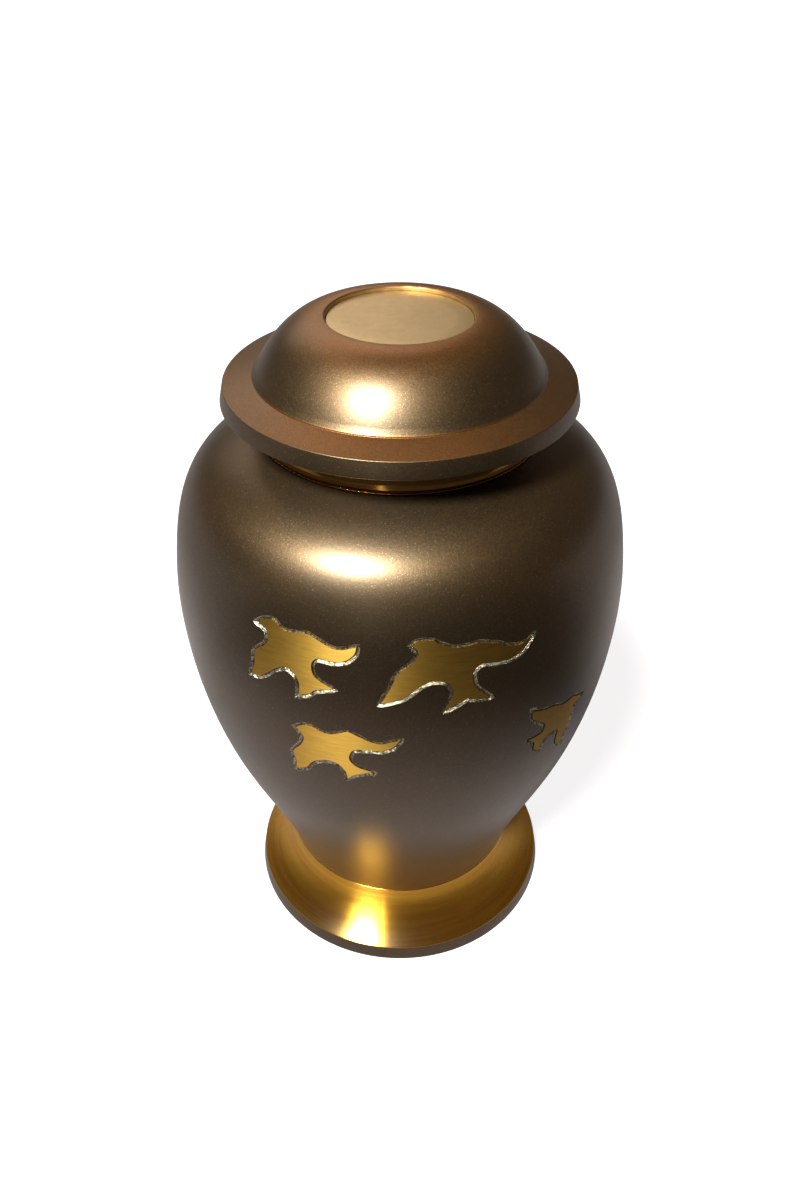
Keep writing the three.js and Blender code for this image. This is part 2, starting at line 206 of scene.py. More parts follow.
def even_points(points, step):
    """The points of a line again, at even steps along it: straight interpolation against its length."""
    length = run_length(points)
    count = max(2, int(round(length[-1] / step)))
    places = np.linspace(0, length[-1], count + 1)
    return np.stack([np.interp(places, length, points[:, k]) for k in (0, 1)], axis=1)


def spline_through(knots, step):
    """A natural cubic through the knots: each coordinate is a cubic of the straight distance along them,
    with equal slopes and curvatures where two pieces meet, given at even steps along the curve."""
    knots = np.array(knots, float)
    place = run_length(knots)
    gap = np.diff(place)
    rise = np.diff(knots, axis=0) / gap[:, None]
    system = np.eye(len(knots))
    inner = np.arange(1, len(knots) - 1)
    system[inner, inner - 1] = gap[:-1]
    system[inner, inner] = 2 * (gap[:-1] + gap[1:])
    system[inner, inner + 1] = gap[1:]
    bend = np.zeros_like(knots)
    bend[1:-1] = 6 * np.diff(rise, axis=0)
    bend = np.linalg.solve(system, bend)
    at = np.linspace(0, place[-1], 4000)
    k = np.clip(np.searchsorted(place, at, side="right") - 1, 0, len(gap) - 1)
    a, b, h = (place[k + 1] - at)[:, None], (at - place[k])[:, None], gap[k][:, None]
    curve = (
        (bend[k] * a**3 + bend[k + 1] * b**3) / (6 * h)
        + (knots[k] / h - bend[k] * h / 6) * a
        + (knots[k + 1] / h - bend[k + 1] * h / 6) * b
    )
    return even_points(curve, step)


def stroke_through(knots, step):
    """A hand-drawn stroke: between two knots each coordinate is a cubic whose slope at a knot is half the way
    from the knot before to the knot after, given at even steps."""
    knots = np.array(knots, float)
    before = np.vstack([knots[:1], knots[:-2]])
    after = np.vstack([knots[2:], knots[-1:]])
    t = np.linspace(0, 1, 24, endpoint=False)[None, :, None]
    p0, p1 = knots[:-1, None], knots[1:, None]
    v0, v1 = (p1 - before[:, None]) / 2, (after[:, None] - p0) / 2
    curve = (2 * p0 - 2 * p1 + v0 + v1) * t**3 + (3 * p1 - 3 * p0 - 2 * v0 - v1) * t**2 + v0 * t + p0
    return even_points(np.vstack([curve.reshape(-1, 2), knots[-1:]]), step)


def bird_loop(strokes, step):
    """The closed outline of a bird, anticlockwise: its strokes end to end."""
    starts = [strokes[-1][-1]] + [stroke[-1] for stroke in strokes[:-1]]
    loop = np.vstack([stroke_through([start, *stroke], step)[1:] for start, stroke in zip(starts, strokes)])
    x, y = loop.T
    turn = np.sum(x * np.roll(y, -1) - y * np.roll(x, -1))
    return loop if turn > 0 else loop[::-1]


def rounded(corners, steps=5):
    """A profile with rounded corners: a corner with a radius becomes an arc that touches both of its sides, in
    even turns. Each row is radius, height and rounding."""
    made = []
    corners = np.array(corners, float)
    for k, (x, z, size) in enumerate(corners):
        here = np.array([x, z])
        if size <= 0 or k in (0, len(corners) - 1):
            made.append(here[None])
            continue
        back = corners[k - 1, :2] - here
        on = corners[k + 1, :2] - here
        back_length, on_length = np.hypot(*back), np.hypot(*on)
        back, on = back / back_length, on / on_length
        half = math.acos(float(np.clip(back @ on, -1, 1))) / 2
        if half > NEARLY_STRAIGHT:
            made.append(here[None])
            continue
        reach = min(size / math.tan(half), 0.48 * back_length, 0.48 * on_length)
        radius = reach * math.tan(half)
        middle = here + (back + on) / np.hypot(*(back + on)) * (radius / math.sin(half))
        start, end = here + back * reach - middle, here + on * reach - middle
        sweep = math.atan2(start[0] * end[1] - start[1] * end[0], start @ end)
        angle = np.linspace(0, sweep, steps + 1)
        made.append(middle + side_by_side(
            start[0] * np.cos(angle) - start[1] * np.sin(angle),
            start[0] * np.sin(angle) + start[1] * np.cos(angle),
        ))
    return np.vstack(made)


def moved_sideways(profile, distance):
    """A profile moved to the left of its own direction by a distance, along the normal at each point."""
    run = unit(np.gradient(profile, axis=0))
    return profile + side_by_side(-run[:, 1], run[:, 0]) * distance


def around_axis(angle, radius, height):
    """Points at angles around Z from the front: x = radius sin(angle), y = -radius cos(angle), z = height."""
    return np.stack([radius * np.sin(angle), -radius * np.cos(angle), height], axis=-1)


def turned(profile, columns, relief=None):
    """A closed profile turned about Z: its radii and heights at every angle, with the last row joined to the
    first. relief(angle, row) gives how far a point moves out. A row on the axis is one point. Gives the points,
    the quads, the fans, and the row that each of them starts from."""
    count = len(profile)
    on_axis = profile[:, 0] < ON_AXIS
    angle = np.arange(columns) * (2 * np.pi / columns)
    radius = np.repeat(profile[:, :1], columns, axis=1)
    if relief is not None:
        radius = radius + np.where(on_axis[:, None], 0, relief(angle[None], np.arange(count)[:, None]))
    points = around_axis(angle, radius, np.repeat(profile[:, 1:], columns, axis=1)).reshape(-1, 3)
    low, column = np.meshgrid(np.arange(count), np.arange(columns), indexing="ij")
    high, beside = (low + 1) % count, (column + 1) % columns
    quads = np.stack([
        low * columns + column, low * columns + beside, high * columns + beside, high * columns + column,
    ], axis=-1)
    next_on_axis = np.roll(on_axis, -1)
    opens, closes, plain = on_axis & ~next_on_axis, next_on_axis & ~on_axis, ~on_axis & ~next_on_axis
    from_pole = np.stack([low * columns, quads[..., 2], quads[..., 3]], axis=-1)[opens]
    to_pole = np.stack([quads[..., 0], quads[..., 1], high * columns], axis=-1)[closes]
    fans = np.concatenate([from_pole, to_pole]).reshape(-1, 3)
    fan_rows = np.concatenate([low[opens], low[closes]]).ravel()
    return points, quads[plain].reshape(-1, 4), fans, low[plain].ravel(), fan_rows


def make_piece(name, node, points, faces, looks, slots, normals=None):
    """Puts points and faces into a mesh that stands for a node of the frame. faces holds arrays of four or
    three corners, looks a material number for all or each of the faces, and normals one vector for each corner,
    or zeros where the mesh's own will do."""
    used = np.unique(np.concatenate([part.ravel() for part in faces]))
    rings = [ring for part in faces for ring in np.searchsorted(used, part).tolist()]
    mesh = bpy.data.meshes.new(name)
    mesh.from_pydata((points[used] * MM).tolist(), [], rings)
    mesh.polygons.foreach_set("material_index", np.broadcast_to(looks, len(rings)).astype(np.int32))
    mesh.shade_smooth()
    if mesh.validate(verbose=False):
        raise RuntimeError(name + ": its mesh had faults")
    mesh.set_sharp_from_angle(angle=SHARP)
    if normals is not None:
        mesh.normals_split_custom_set(normals.astype(np.float32).tolist())
    for look in slots:
        mesh.materials.append(look)
    piece = bpy.data.objects.new(name, mesh)
    bpy.context.scene.collection.objects.link(piece)
    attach(piece, BODY)
    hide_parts(node)
    return piece


# How many distances are measured at once, and how much further a sharp tip moves than the rest of its outline.
AT_ONCE, TIP_STRETCH = 2000000, 1.45


def outline_distance(points, loop):
    """How far each point lies outside a closed outline, less than 0 inside: the least distance to its straight
    pieces, with the sign from how often a line to the right crosses it. Also gives the nearest piece."""
    start, end = loop, np.roll(loop, -1, axis=0)
    edge = end - start
    length = np.sum(edge**2, axis=1)
    gaps, nearest = [], []
    for part in np.array_split(points, max(1, len(points) * len(loop) // AT_ONCE)):
        way = part[:, None] - start
        share = np.clip(np.sum(way * edge, axis=2) / length, 0, 1)
        gap = np.sum((way - share[..., None] * edge) ** 2, axis=2)
        near = gap.argmin(axis=1)
        x, y = part[:, :1], part[:, 1:]
        spans = (start[:, 1] > y) != (end[:, 1] > y)
        drop = np.where(np.abs(edge[:, 1]) < 1e-12, 1, edge[:, 1])
        crossed = spans & (x < start[:, 0] + (y - start[:, 1]) / drop * edge[:, 0])
        sign = np.where(crossed.sum(axis=1) % 2 == 1, -1, 1)
        gaps.append(sign * np.sqrt(gap[np.arange(len(part)), near]))
        nearest.append(near)
    return np.concatenate(gaps), np.concatenate(nearest)


def grown_loop(loop, distance):
    """A closed outline moved outwards by a distance at each of its points, and further at sharp tips: each point
    goes along the mean of the normals of the two pieces that meet there."""
    edge = unit(np.roll(loop, -1, axis=0) - loop)
    normal = side_by_side(edge[:, 1], -edge[:, 0])
    mean = normal + np.roll(normal, 1, axis=0)
    mean /= np.maximum(np.hypot(*mean.T), 1e-6)[:, None]
    stretch = np.minimum(1 / np.maximum(np.sum(mean * normal, axis=1), 0.01), TIP_STRETCH)
    return loop + mean * (distance * stretch)[:, None]


# Where a cut's lines run, as shares of the groove's width out from the bird's outline, and the radius that turns
# an angle around the body into a distance in millimetres.
FIELD_EDGE, GROOVE_BOTTOM, COAT_EDGE = 0.08, 0.36, 1.0
PLANE = 75.0
# How far a patch reaches past its birds and how far its grid points keep off their outlines, both in groove
# widths, and in millimetres how deep inside a bird they start again. Shares closer than the last count as equal.
PATCH_MARGIN, GRID_CLEAR, GRID_INSIDE, SAME = 2.2, 1.9, 0.9, 1e-4
# The body's materials: coat, brushed bird, bright slope of a cut, inside, and the cut's inner slope painted dark
# as shade.
COAT, BIRD, BRIGHT_CUT, INSIDE, PAINTED_SHADE_CUT = range(5)


class BirdCut:
    """One bird's cut on the body's side. Flat points are millimetres across and up from the bird's middle, and
    the plane is (angle times a fixed radius, distance up the side)."""

    def __init__(self, strokes, turn, rise, seed, side_length, side_at, width):
        dice = np.random.default_rng(seed)
        self.turn = math.radians(turn)
        self.middle = rise * side_length
        self.radius = side_at(self.middle)[0]
        self.loop = bird_loop(strokes, 0.14)
        self.hand, ticks = self.hand_cut(dice, width)
        self.rails = [
            (FIELD_EDGE, grown_loop(self.loop, self.hand * FIELD_EDGE)),
            (GROOVE_BOTTOM, grown_loop(self.loop, self.hand * (GROOVE_BOTTOM + 0.12 * ticks))),
            (COAT_EDGE, grown_loop(self.loop, self.hand * (COAT_EDGE + ticks))),
        ]

    def hand_cut(self, dice, width):
        """The groove's width along the outline, a sum of slow waves, and the tool's ticks past its outer edge:
        short pulses that come and go."""
        along = run_length(self.loop)
        waves = np.array([2.1, 3.7, 6.3, 11.0])[:, None]
        phase = dice.uniform(0, 2 * np.pi, (4, 1))
        drift = np.sin(along / waves * 2.2 + phase).sum(axis=0) / 4
        ticked = np.clip(np.sin(along / 5.2 + phase[0]) * 2.2 - 0.7, 0, 1)
        beat = (along / 1.3 + 0.5 * np.sin(along / 9)) * 2 * np.pi
        pulse = np.clip(np.cos(beat + phase[1]) * 1.8, 0, 1)
        return width * (0.98 + 0.16 * drift), ticked * pulse * (0.6 + 0.25 * np.sin(beat / 2.7 + phase[2]))

    def to_plane(self, flat):
        """Flat points in the plane of the side."""
        return side_by_side((self.turn + flat[:, 0] / self.radius) * PLANE, self.middle + flat[:, 1])

    def to_flat(self, plane):
        """Points of the plane in the bird's own flat."""
        return side_by_side((plane[:, 0] / PLANE - self.turn) * self.radius, plane[:, 1] - self.middle)

    def outside(self, plane):
        """How far points of the plane lie outside the outline, and the groove's width at the nearest place."""
        gap, near = outline_distance(self.to_flat(plane), self.loop)
        return gap, self.hand[near]


def block_of_cells(cuts, reach, cell, row_step):
    """The whole cells that hold every cut of a block: first and last column and row."""
    outer = np.vstack([cut.to_plane(grown_loop(cut.loop, np.full(len(cut.loop), reach))) for cut in cuts])
    c0, c1 = math.floor(outer[:, 0].min() / PLANE / cell), math.ceil(outer[:, 0].max() / PLANE / cell)
    r0, r1 = math.floor(outer[:, 1].min() / row_step), math.ceil(outer[:, 1].max() / row_step)
    return c0, c1, r0, r1


def carve_block(cuts, width, depth, field, row_step, first_row, columns):
    """One patch of the body's side with the birds on it. A triangulation joins the patch's edge, its grid
    points away from the cuts, and three lines that follow each outline: the edge of the brushed face, the
    bottom of the groove, and the edge of the coat. The height is a function of q, the distance from the
    outline as a share of the groove's width: level inside, down to the bottom, and up again to the coat."""
    cell = 2 * np.pi / columns
    c0, c1, r0, r1 = block_of_cells(cuts, PATCH_MARGIN * width, cell, row_step)
    across, up = np.arange(c0, c1 + 1), np.arange(r0, r1 + 1)
    edge_cells = np.array(
        [(c, r0) for c in across[:-1]] + [(c1, r) for r in up[:-1]]
        + [(c, r1) for c in across[:0:-1]] + [(c0, r) for r in up[:0:-1]]
    )
    inner_cells = np.stack(np.meshgrid(across[1:-1], up[1:-1], indexing="ij"), axis=-1).reshape(-1, 2)
    scale = np.array([cell * PLANE, row_step])
    gap = np.min([cut.outside(inner_cells * scale)[0] for cut in cuts], axis=0)
    inner_cells = inner_cells[(gap > GRID_CLEAR * width) | (gap < -GRID_INSIDE)]
    start = len(edge_cells) + len(inner_cells)
    ring = np.arange(len(edge_cells))
    edges, shares, limits, lines = [side_by_side(ring, np.roll(ring, -1))], [], [], []
    for cut in cuts:
        for share, rail in cut.rails:
            ring = start + np.arange(len(rail))
            start += len(rail)
            edges.append(side_by_side(ring, np.roll(ring, -1)))
            lines.append(cut.to_plane(rail))
            shares.append(np.full(len(rail), share))
            limits.append(0.96 * share * cut.hand - 0.02)
    plane = np.vstack([edge_cells * scale, inner_cells * scale, *lines])
    found, _, faces, origin, _, _ = delaunay_2d_cdt(
        plane.tolist(), np.vstack(edges).tolist(), [], 0, 1e-5, True
    )
    found = np.array([tuple(p) for p in found])
    faces = np.array(faces)
    origin = np.array([ids[0] if ids else -1 for ids in origin])
    given = origin >= 0
    found[given] = plane[origin[given]]
    outside = [cut.outside(found) for cut in cuts]
    nearest = np.argmin([gap for gap, _ in outside], axis=0)
    gap = np.choose(nearest, [gap for gap, _ in outside])
    q = gap / np.choose(nearest, [hand for _, hand in outside])
    first_rail = len(edge_cells) + len(inner_cells)
    spot = np.maximum(origin - first_rail, 0)
    own, limit = np.concatenate(shares)[spot], np.concatenate(limits)[spot]
    true = (origin >= first_rail) & (gap >= limit)
    q[true] = own[true]
    lift = np.interp(q, [FIELD_EDGE, GROOVE_BOTTOM, COAT_EDGE], [-field, -depth, 0])
    low_q, high_q = q[faces].min(axis=1), q[faces].max(axis=1)
    # Faces from the field edge down to the groove's bottom take the cut metal painted dark as shade.
    look = np.select(
        [low_q >= COAT_EDGE - SAME, high_q <= FIELD_EDGE + SAME, high_q <= GROOVE_BOTTOM + SAME],
        [COAT, BIRD, PAINTED_SHADE_CUT], BRIGHT_CUT,
    )
    node = np.full(len(found), -1)
    on_border = given & (origin < len(edge_cells))
    cells = edge_cells[origin[on_border]]
    node[on_border] = (first_row + cells[:, 1]) * columns + cells[:, 0] % columns
    return found, lift, node, faces, look, (c0, c1, r0, r1)


# ---- materials ----


def add(tree, kind, inputs=None, **settings):
    """Adds a node with its settings. An input that is a socket is linked, and any other is set."""
    made = tree.nodes.new(kind)
    for name, value in settings.items():
        setattr(made, name, value)
    for name, value in (inputs or {}).items():
        if isinstance(value, bpy.types.NodeSocket):
            tree.links.new(value, made.inputs[name])
        else:
            made.inputs[name].default_value = value
    return made


def maths(tree, operation, a, b=0.0, c=0.0):
    """One arithmetic step on values or sockets."""
    return add(tree, "ShaderNodeMath", {0: a, 1: b, 2: c}, operation=operation).outputs[0]


def times(tree, a, b):
    """One value times another."""
    return maths(tree, "MULTIPLY", a, b)


def line(tree, value, slope, start):
    """A value times a slope, plus a start."""
    return maths(tree, "MULTIPLY_ADD", value, slope, start)


def swing(tree, value, span, middle=1.0):
    """A value from 0 to 1 as a change about a middle: (value - 0.5) times span, plus middle."""
    return line(tree, maths(tree, "SUBTRACT", value, 0.5), span, middle)


def ramp(tree, value, over, gives, kind="SMOOTHSTEP"):
    """Goes from the first to the second of two results while the value goes over a span, and is level outside."""
    return add(tree, "ShaderNodeMapRange", {
        "Value": value, "From Min": over[0], "From Max": over[1], "To Min": gives[0], "To Max": gives[1],
    }, interpolation_type=kind).outputs["Result"]


def noise(tree, place, scale, detail, roughness=0.5, distortion=0.0):
    """Soft noise from 0 to 1."""
    return add(tree, "ShaderNodeTexNoise", {
        "Vector": place, "Scale": scale, "Detail": detail, "Roughness": roughness, "Distortion": distortion,
    }).outputs["Fac"]


def mixed(tree, share, a, b, kind="RGBA"):
    """A blend from a to b."""
    return add(tree, "ShaderNodeMix", {"Factor": share, "A": a, "B": b}, data_type=kind).outputs["Result"]


def scaled(tree, colour, by):
    """A colour times a value."""
    return add(tree, "ShaderNodeVectorMath", {0: colour, "Scale": by}, operation="SCALE").outputs["Vector"]


def separated(tree, place):
    """The three coordinates of a place."""
    return add(tree, "ShaderNodeSeparateXYZ", {"Vector": place}).outputs


def distance_from_axis(tree, place):
    """Distance of a place from the Z axis."""
    flat = add(tree, "ShaderNodeVectorMath", {0: place, 1: (1, 1, 0)}, operation="MULTIPLY")
    return add(tree, "ShaderNodeVectorMath", {0: flat.outputs["Vector"]}, operation="LENGTH").outputs["Value"]


def new_group(name, inputs, outputs):
    """An empty shader group with its sockets: inputs by name with a default, and outputs by name and kind."""
    group = bpy.data.node_groups.new(name, "ShaderNodeTree")
    group.interface.new_socket("Vector", in_out="INPUT", socket_type="NodeSocketVector")
    for label, default in inputs.items():
        kind = "Float" if isinstance(default, float) else "Color"
        socket = group.interface.new_socket(label, in_out="INPUT", socket_type="NodeSocket" + kind)
        socket.default_value = default
    for label, kind in outputs.items():
        group.interface.new_socket(label, in_out="OUTPUT", socket_type="NodeSocket" + kind)
    return group, group.nodes.new("NodeGroupInput").outputs, group.nodes.new("NodeGroupOutput").inputs


def fleck_group():
    """Lacquer with metal flecks: small cells of uneven tone, a few of them bright, over a colour that warms by
    slow clouds and by a mask of painted warm reflection."""
    group, given, out = new_group("Lacquer flecks", {
        "Coat": (0.1, 0.06, 0.02, 1), "Warm": (0.4, 0.15, 0.02, 1), "Warmth and painted reflection": 0.0,
        "Fleck": (0.3, 0.24, 0.15, 1), "Fleck scale": 3000.0, "Fleck share": 0.03,
    }, {"Color": "Color", "Grain": "Float", "Height": "Float"})
    place = given["Vector"]
    cells = add(group, "ShaderNodeTexVoronoi", {"Vector": place, "Scale": given["Fleck scale"]}).outputs
    draw, tone, grain = add(group, "ShaderNodeSeparateColor", {"Color": cells["Color"]}).outputs
    clouds = ramp(group, noise(group, place, 26.0, 4.0, 0.55), (0.4, 0.75), (0.0, 0.12), "LINEAR")
    warmth_and_painted_reflection = add(group, "ShaderNodeMath", {0: clouds, 1: given["Warmth and painted reflection"]}, operation="ADD", use_clamp=True)
    base = mixed(group, warmth_and_painted_reflection.outputs[0], given["Coat"], given["Warm"])
    grained = scaled(group, base, line(group, tone, 0.42, 0.79))
    chosen = maths(group, "LESS_THAN", draw, given["Fleck share"])
    middle = ramp(group, cells["Distance"], (0.28, 0.5), (1.0, 0.0), "LINEAR")
    speck = times(group, chosen, middle)
    group.links.new(mixed(group, speck, grained, given["Fleck"]), out["Color"])
    group.links.new(grain, out["Grain"])
    group.links.new(line(group, grain, 0.35, noise(group, place, 900.0, 2.0)), out["Height"])
    return group


def turned_lines_group():
    """Fine lines that run around the Z axis: noise of a point whose place across the lines counts many times
    more than its place along them."""
    group, given, out = new_group(
        "Turned lines", {"Lines": 9000.0, "Along": 60.0}, {"Fine": "Float", "Coarse": "Float"}
    )
    x, y, z = separated(group, given["Vector"])
    across = line(group, z, 0.8, distance_from_axis(group, given["Vector"]))
    for label, share in (("Fine", 1.0), ("Coarse", 0.2)):
        stretched = add(group, "ShaderNodeCombineXYZ", {
            "X": times(group, x, given["Along"]),
            "Y": times(group, y, given["Along"]),
            "Z": times(group, across, times(group, given["Lines"], share)),
        })
        group.links.new(noise(group, stretched.outputs["Vector"], 1.0, 3.0, 0.65), out[label])
    return group


def handling_group():
    """Soft marks of handling and polish: two sizes of cloud, put out as a roughness change and a tone."""
    group, given, out = new_group(
        "Handling marks", {"Roughness": 0.3, "Spread": 0.06, "Color": (0.8, 0.6, 0.3, 1), "Dull": 0.12},
        {"Color": "Color", "Roughness": "Float"},
    )
    broad, small = noise(group, given["Vector"], 38.0, 3.0, 0.6), noise(group, given["Vector"], 310.0, 2.0)
    clouds = line(group, small, 0.35, times(group, broad, 0.65))
    tone = swing(group, clouds, times(group, given["Dull"], -4.0))
    rough = swing(group, clouds, times(group, given["Spread"], 4.0), given["Roughness"])
    group.links.new(scaled(group, given["Color"], tone), out["Color"])
    group.links.new(rough, out["Roughness"])
    return group


def use(tree, maker, name, inputs):
    """The outputs of a shared group, built on its first use."""
    return add(tree, "ShaderNodeGroup", inputs, node_tree=bpy.data.node_groups.get(name) or maker()).outputs


def handled(tree, place, colour, roughness, spread, dull):
    """A colour and a roughness with marks of handling."""
    return use(tree, handling_group, "Handling marks", {
        "Vector": place, "Color": colour, "Roughness": roughness, "Spread": spread, "Dull": dull,
    })


def new_material(name, **values):
    """A material with its shader's own values set, and its object coordinates."""
    material = bpy.data.materials.new(name)
    material.use_nodes = True
    tree = material.node_tree
    tree.nodes.clear()
    shader = add(tree, "ShaderNodeBsdfPrincipled", values)
    add(tree, "ShaderNodeOutputMaterial", {"Surface": shader.outputs["BSDF"]})
    return material, tree, shader.inputs, add(tree, "ShaderNodeTexCoord").outputs["Object"]


def finish(tree, shader, colour, rough, height, strength, distance):
    """Gives a shader its changing colour and roughness, and a bump from a height."""
    bump = add(tree, "ShaderNodeBump", {"Height": height, "Strength": strength, "Distance": distance})
    tree.links.new(colour, shader["Base Color"])
    tree.links.new(rough, shader["Roughness"])
    tree.links.new(bump.outputs["Normal"], shader["Normal"])


def gloss_around(tree, shader):
    """Sets a shader's stretched gloss by the direction around the Z axis."""
    tangent = add(tree, "ShaderNodeTangent", direction_type="RADIAL", axis="Z")
    tree.links.new(tangent.outputs["Tangent"], shader["Tangent"])


def rgba(colour):
    """A colour with full alpha."""
    return (*colour, 1.0)


# Height of the flange's flat top over the end of the lid's spigot, in metres.
FLANGE_TOP = 0.0158


def lid_painted_reflection(tree, place):
    """Painted warm reflection on the lid's coat: most on the flange and beside the recess, less to the sides, 0 on
    the dome's slope. The flat tops are tinted as if they mirrored warm light from above and behind."""
    radius = distance_from_axis(tree, place)
    crown = ramp(tree, radius, (0.027, 0.043), (0.95, 0.0))
    flange = ramp(tree, radius, (0.0499, 0.0503), (0.0, 0.85), "LINEAR")
    x, _, height = separated(tree, place)
    # Less of the painted reflection to the left and right, where the flat tops would mirror pale surroundings.
    sides = ramp(tree, maths(tree, "ABSOLUTE", x), (0.012, 0.055), (1.0, 0.35))
    above_edge = maths(tree, "GREATER_THAN", height, lid_low.z + FLANGE_TOP)
    painted_warm_reflection = times(tree, maths(tree, "ADD", crown, flange), sides)
    return times(tree, painted_warm_reflection, above_edge)


def bronze_coat(name="bronze coat", warmth_and_painted_reflection=None):
    """Satin bronze lacquer full of metal flecks, with a soft clear surface."""
    colours = bpy.context.scene.urn_colours
    material, tree, shader, place = new_material(name, **{
        "Metallic": 0.97, "Coat Weight": 0.9, "Coat Roughness": 0.35, "Coat IOR": 1.6, "Anisotropic": 0.2,
    })
    gloss_around(tree, shader)
    flecks = use(tree, fleck_group, "Lacquer flecks", {
        "Vector": place, "Coat": rgba(colours.coat), "Warm": rgba(colours.coat_warm_and_painted_reflection),
        # On the lid, a mask of painted warm reflection on the flat tops; elsewhere none.
        "Warmth and painted reflection": warmth_and_painted_reflection(tree, place) if warmth_and_painted_reflection else 0.0,
        "Fleck": rgba(colours.fleck), "Fleck scale": 3000.0, "Fleck share": 0.03,
    })
    marks = handled(tree, place, flecks["Color"], 0.355, 0.03, 0.08)
    rough = line(tree, flecks["Grain"], 0.08, marks["Roughness"])
    finish(tree, shader, marks["Color"], rough, flecks["Height"], 0.14, 0.0002)
    return material


def turned_metal(name, colour, roughness, lines, depth, stretch, contrast=0.25, dull=0.1, along=45.0,
                 spread=0.03, coat=0.0):
    """Brass brushed or turned around the Z axis: fine lines in tone, roughness and height, gloss stretched across
    them, and a clear lacquer where coat is above 0."""
    material, tree, shader, place = new_material(name, **{
        "Metallic": 1.0, "Anisotropic": stretch, "Anisotropic Rotation": 0.25,
        "Coat Weight": coat, "Coat Roughness": 0.28,
    })
    gloss_around(tree, shader)
    brush = use(tree, turned_lines_group, "Turned lines", {"Vector": place, "Lines": lines, "Along": along})
    marks = handled(tree, place, rgba(colour), roughness, spread, dull)
    tone = swing(tree, brush["Coarse"], contrast, swing(tree, brush["Fine"], contrast * 2))
    rough = swing(tree, brush["Fine"], 0.04, marks["Roughness"])
    finish(tree, shader, scaled(tree, marks["Color"], tone), rough, brush["Fine"], 0.25, depth)
    return material


def inside_metal(name, roughness, lines, depth, dull):
    """Bare turned brass of the urn's hidden sides."""
    brass = bpy.context.scene.urn_colours.brass
    return turned_metal(name, brass, roughness, lines, depth, 0.3, 0.3, dull)


def cut_brass(name, colour, roughness):
    """Graver cuts: metal with small facets of uneven tone and scratches in every direction."""
    material, tree, shader, place = new_material(name, Metallic=1.0)
    chips = add(tree, "ShaderNodeTexVoronoi", {"Vector": place, "Scale": 1500.0}).outputs
    scratch = noise(tree, place, 2600.0, 3.0, distortion=1.5)
    height = line(tree, chips["Distance"], 0.7, scratch)
    marks = handled(tree, place, rgba(colour), roughness, 0.05, 0.3)
    facet = add(tree, "ShaderNodeSeparateColor", {"Color": chips["Color"]}).outputs["Red"]
    tone = ramp(tree, facet, (0.25, 0.75), (0.3, 1.1), "LINEAR")
    finish(tree, shader, scaled(tree, marks["Color"], tone), marks["Roughness"], height, 0.8, 0.0002)
    return material


def satin_disc_metal():
    """Pale brass with straight brush lines: noise of a place turned on the disc, then stretched along one way."""
    material, tree, shader, place = new_material("satin brass", Metallic=1.0)
    brushed = add(tree, "ShaderNodeMapping", {
        "Vector": place, "Rotation": (0, 0, math.radians(62)), "Scale": (1 / 160, 1 / 6500, 1 / 160),
    }, vector_type="TEXTURE")
    lines = noise(tree, brushed.outputs["Vector"], 1.0, 3.0, 0.6)
    marks = handled(tree, place, rgba(bpy.context.scene.urn_colours.pale_brass), 0.4, 0.05, 0.16)
    colour = scaled(tree, marks["Color"], swing(tree, lines, 0.2))
    rough = swing(tree, lines, 0.2, marks["Roughness"])
    finish(tree, shader, colour, rough, lines, 0.2, 0.00005)
    return material


def studio_floor():
    """Pale matt board with a faint mottle, which the camera sees evenly bright, as a lit table is in a photo. What
    the urn mirrors is a pool of light around it that fades outwards, and a brighter floor behind and beside it
    that fades far away."""
    material, tree, shader, place = new_material("studio floor", **{
        "Roughness": 0.85, "Specular IOR Level": 0.1, "Emission Color": (1, 1, 1, 1),
    })
    tone = line(tree, noise(tree, place, 3.0, 4.0), 0.02, 0.99)
    radius = distance_from_axis(tree, place)
    x, y, _ = separated(tree, place)
    pool = ramp(tree, line(tree, x, 0.35, radius), (0.11, 0.33), (0.62, 0.03))
    back = line(tree, x, -0.12, y)
    back = line(tree, maths(tree, "ABSOLUTE", x), 0.45, back)
    behind = ramp(tree, back, (-0.02, 0.32), (0.0, 1.15))
    near = ramp(tree, radius, (0.2, 0.45), (1.0, 0.42))
    mirrored = maths(tree, "MAXIMUM", pool, times(tree, behind, near))
    seen = add(tree, "ShaderNodeLightPath").outputs["Is Camera Ray"]
    shown = mixed(tree, seen, mirrored, tone, "FLOAT")
    colour = scaled(tree, tuple(bpy.context.scene.urn_colours.floor), shown)
    tree.links.new(colour, shader["Base Color"])
    tree.links.new(times(tree, seen, 0.85), shader["Emission Strength"])
    return material


# ---- operators ----


